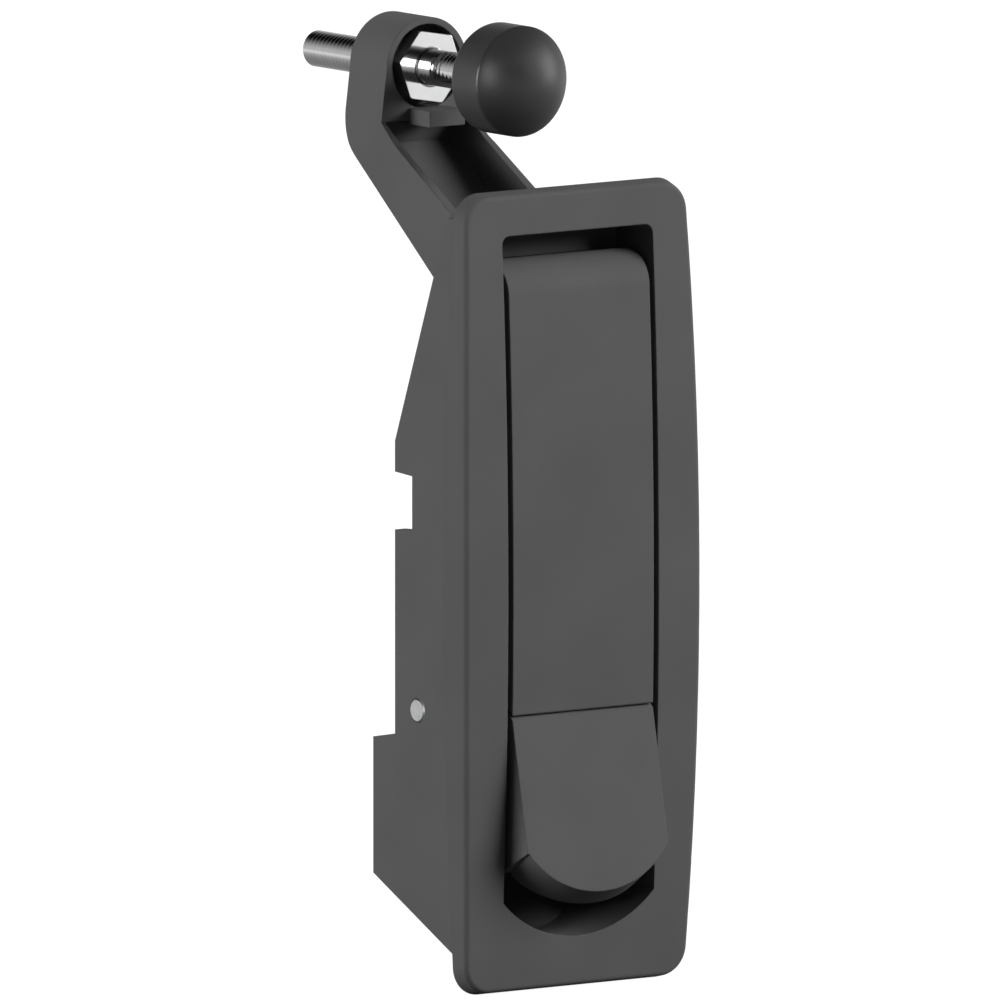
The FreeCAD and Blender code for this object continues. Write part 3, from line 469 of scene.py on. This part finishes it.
def moulded_rubber():
    """Black moulded rubber.

    To the eye: dark and half glossy, with the faint skin of its mould.
    """
    made, tree = new_material("moulded_rubber_black")
    place = (add_node(tree, "ShaderNodeTexCoord", {}), "Object")
    skin = add_node(tree, "ShaderNodeTexNoise", {
        "Vector": place, "Scale": 1 / (0.5 * MM), "Detail": 2.0,
    })
    bloom = add_node(tree, "ShaderNodeTexNoise", {
        "Vector": place, "Scale": 1 / (6 * MM), "Detail": 3.0,
    })
    bump = add_node(tree, "ShaderNodeBump", {
        "Height": skin, "Strength": 0.1, "Distance": 0.01 * MM,
    })
    colour = add_node(tree, "ShaderNodeMix", {
        SHARE: bloom, FIRST: linear("2c2c2c"), SECOND: linear("343434"),
    }, data_type="RGBA")
    rough = add_node(tree, "ShaderNodeMapRange", {"Value": bloom, "To Min": 0.3, "To Max": 0.42})
    shader = add_node(tree, "ShaderNodeBsdfPrincipled", {
        "Base Color": (colour, MIXED),
        "Roughness": rough,
        "Specular IOR Level": 0.32,
        "IOR": 1.52,
        "Normal": bump,
    })
    add_node(tree, "ShaderNodeOutputMaterial", {"Surface": shader})
    return made


def black_nylon():
    """Black nylon washer, stamped from sheet.

    To the eye: dull, slightly waxy black.
    """
    made, tree = new_material("nylon_black")
    place = (add_node(tree, "ShaderNodeTexCoord", {}), "Object")
    skin = add_node(tree, "ShaderNodeTexNoise", {
        "Vector": place, "Scale": 1 / (0.4 * MM), "Detail": 2.0,
    })
    colour = add_node(tree, "ShaderNodeMix", {
        SHARE: skin, FIRST: linear("1b1b1c"), SECOND: linear("252526"),
    }, data_type="RGBA")
    rough = add_node(tree, "ShaderNodeMapRange", {"Value": skin, "To Min": 0.4, "To Max": 0.52})
    shader = add_node(tree, "ShaderNodeBsdfPrincipled", {
        "Base Color": (colour, MIXED),
        "Roughness": rough,
        "IOR": 1.53,
    })
    add_node(tree, "ShaderNodeOutputMaterial", {"Surface": shader})
    return made


def spring_wire():
    """Drawn spring wire.

    To the eye: bluish grey metal with fine marks from drawing.
    """
    made, tree = new_material("drawn_spring_wire")
    place = (add_node(tree, "ShaderNodeTexCoord", {}), "Object")
    marks = add_node(tree, "ShaderNodeTexNoise", {
        "Vector": place, "Scale": 1 / (0.2 * MM), "Detail": 2.0,
    })
    colour = add_node(tree, "ShaderNodeMix", {
        SHARE: marks, FIRST: linear("85878b"), SECOND: linear("9d9fa2"),
    }, data_type="RGBA")
    rough = add_node(tree, "ShaderNodeMapRange", {"Value": marks, "To Min": 0.22, "To Max": 0.38})
    shader = add_node(tree, "ShaderNodeBsdfPrincipled", {
        "Base Color": (colour, MIXED),
        "Metallic": 1.0,
        "Roughness": rough,
    })
    add_node(tree, "ShaderNodeOutputMaterial", {"Surface": shader})
    return made


def dress(piece, material):
    piece.data.materials.clear()
    piece.data.materials.append(material)


# Studio

def make_world():
    """White to look at and plain soft light round it.

    Metal and gloss see white near the horizon, dark well above and below it, and a dark
    card straight before the bezel.
    """
    world = bpy.data.worlds.new("white_studio")
    world.use_nodes = True
    tree = world.node_tree
    tree.nodes.clear()
    path = add_node(tree, "ShaderNodeLightPath", {})
    ray = add_node(tree, "ShaderNodeTexCoord", {})
    split = add_node(tree, "ShaderNodeSeparateXYZ", {"Vector": (ray, "Generated")})
    seen = add_node(tree, "ShaderNodeMath", {
        0: (path, "Is Camera Ray"), 1: (path, "Is Transmission Ray"),
    }, operation="MAXIMUM")
    steep = add_node(tree, "ShaderNodeMath", {
        0: (split, "Z"), 1: (split, "Z"),
    }, operation="MULTIPLY")
    level = add_node(tree, "ShaderNodeMapRange", {
        "Value": steep, "From Min": 0.0, "From Max": 0.36, "To Min": 0.75, "To Max": 0.0,
    })
    wall = add_node(tree, "ShaderNodeMath", {0: level, 1: 1.5}, operation="POWER")
    ahead = add_node(tree, "ShaderNodeVectorMath", {
        0: (ray, "Generated"), 1: (0.05, -1.0, 0.0),
    }, operation="DOT_PRODUCT")
    card = add_node(tree, "ShaderNodeMapRange", {
        "Value": (ahead, "Value"),
        "From Min": 0.9, "From Max": 0.965, "To Min": 1.0, "To Max": 0.0,
    })
    broken = add_node(tree, "ShaderNodeMath", {0: wall, 1: card}, operation="MULTIPLY")
    ambient = add_node(tree, "ShaderNodeMapRange", {
        "Value": (split, "Z"), "From Min": -0.3, "From Max": 0.6, "To Min": 0.0, "To Max": 0.1,
    })
    lit = add_node(tree, "ShaderNodeMix", {
        "Factor": (path, "Is Glossy Ray"), "A": ambient, "B": broken,
    })
    strength = add_node(tree, "ShaderNodeMath", {0: lit, 1: seen}, operation="MAXIMUM")
    background = add_node(tree, "ShaderNodeBackground", {
        "Color": linear("ffffff"), "Strength": strength,
    })
    add_node(tree, "ShaderNodeOutputWorld", {"Surface": background})
    bpy.context.scene.world = world


def make_floor():
    """A pale floor that the latch stands on. It shows white and keeps a shadow.

    Metal and gloss see it white far off and dark close under the latch, a painted shade: the glow
    they see fades out there.
    """
    made, tree = new_material("floor_paper")
    path = add_node(tree, "ShaderNodeLightPath", {})
    place = add_node(tree, "ShaderNodeTexCoord", {})
    far = add_node(tree, "ShaderNodeVectorMath", {0: (place, "Object")}, operation="LENGTH")
    # painted shade: the glow that metal and gloss see fades to nothing close under the latch
    fade = add_node(tree, "ShaderNodeMapRange", {
        "Value": (far, "Value"), "From Min": 0.15, "From Max": 0.9, "To Min": 0.0, "To Max": 0.8,
    })
    glossy_glow_with_painted_shade = add_node(tree, "ShaderNodeMath", {
        0: fade, 1: (path, "Is Glossy Ray"),
    }, operation="MULTIPLY")
    seen = add_node(tree, "ShaderNodeMath", {
        0: (path, "Is Camera Ray"), 1: (path, "Is Transmission Ray"),
    }, operation="MAXIMUM")
    level = add_node(tree, "ShaderNodeMath", {0: seen, 1: 0.96}, operation="MULTIPLY")
    both = add_node(tree, "ShaderNodeMath", {0: level, 1: glossy_glow_with_painted_shade}, operation="MAXIMUM")
    paper = add_node(tree, "ShaderNodeBsdfDiffuse", {"Color": linear("606060")})
    glow = add_node(tree, "ShaderNodeEmission", {"Strength": both})
    surface = add_node(tree, "ShaderNodeAddShader", {0: paper, 1: glow})
    add_node(tree, "ShaderNodeOutputMaterial", {"Surface": surface})
    grid = np.array([
        [(-FLOOR_REACH, -FLOOR_REACH, FLOOR_Z), (FLOOR_REACH, -FLOOR_REACH, FLOOR_Z)],
        [(-FLOOR_REACH, FLOOR_REACH, FLOOR_Z), (FLOOR_REACH, FLOOR_REACH, FLOOR_Z)],
    ])
    floor = lay_grid("floor", grid, closed=False)
    dress(floor, made)


def make_lamp(name, place, size, watts):
    """A soft lamp that faces the latch. Its size is its width and height."""
    data = bpy.data.lights.new(name, "AREA")
    data.shape = "RECTANGLE"
    data.size, data.size_y = size
    data.energy = watts
    lamp = bpy.data.objects.new(name, data)
    bpy.context.scene.collection.objects.link(lamp)
    lamp.location = place
    lamp.rotation_euler = (Vector(place) * -1).to_track_quat("-Z", "Y").to_euler()
    lamp.visible_camera = False
    return lamp


def make_camera():
    data = bpy.data.cameras.new("camera")
    data.lens = LENS
    data.sensor_width = SENSOR
    data.clip_start = CLIP_NEAR
    data.clip_end = CLIP_FAR
    camera = bpy.data.objects.new("camera", data)
    bpy.context.scene.collection.objects.link(camera)
    back = Vector(VIEW_BACK).normalized()
    camera.location = Vector(VIEW_CENTRE) * MM + back * VIEW_WIDTH * LENS / SENSOR
    camera.rotation_euler = (-back).to_track_quat("-Z", "Y").to_euler()
    bpy.context.scene.camera = camera


def add_pieces():
    coat, zinc, steel, rubber = powder_coat(), bright_zinc(), ground_steel(), moulded_rubber()
    nylon, wire = black_nylon(), spring_wire()
    for name, material in (
        ("housing", coat), ("lever", coat), ("arm", coat), ("trigger", coat),
        ("pivot_pin", steel), ("catch_pin", steel), ("arm_pin", steel), ("trigger_pin", steel),
        ("pivot_washers", nylon),
    ):
        dress(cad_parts[name], material)
    screw, nut, bumper, spring = make_screw(), make_nut(), make_bumper(), make_spring()
    for piece, node, slot, material in (
        (screw, "adjusting_screw", "bright_zinc", zinc),
        (nut, "jam_nut", "bright_zinc", zinc),
        (bumper, "bumper", "black_rubber", rubber),
        (spring, "trigger_spring", "spring_steel", wire),
    ):
        dress(piece, material)
        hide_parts(node)
    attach(screw, "adjusting_screw")
    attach(bumper, "adjusting_screw")
    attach(nut, "jam_nut")
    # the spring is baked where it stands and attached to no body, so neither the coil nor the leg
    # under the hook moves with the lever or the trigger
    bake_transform(spring)


make_camera()
add_pieces()
make_world()
make_floor()
# the right and back lamps only light, the gloss and rim lamps only show as reflections
make_lamp("left_lamp", (-1.9, 0.5, 0.3), (0.9, 0.8), 38.5)
make_lamp("right_lamp", (1.25, -1.3, 0.82), (1.4, 0.8), 58.0).visible_glossy = False
make_lamp("gloss_lamp", (-1.2, -1.65, 0.15), (0.5, 1.6), 17.0).visible_diffuse = False
make_lamp("rim_lamp", (1.75, -0.8, 0.0), (0.8, 1.6), 19.0).visible_diffuse = False
make_lamp("back_lamp", (0.5, 2.0, 0.9), (1.4, 1.2), 32.0).visible_glossy = False
bpy.context.scene.view_settings.view_transform = "Standard"
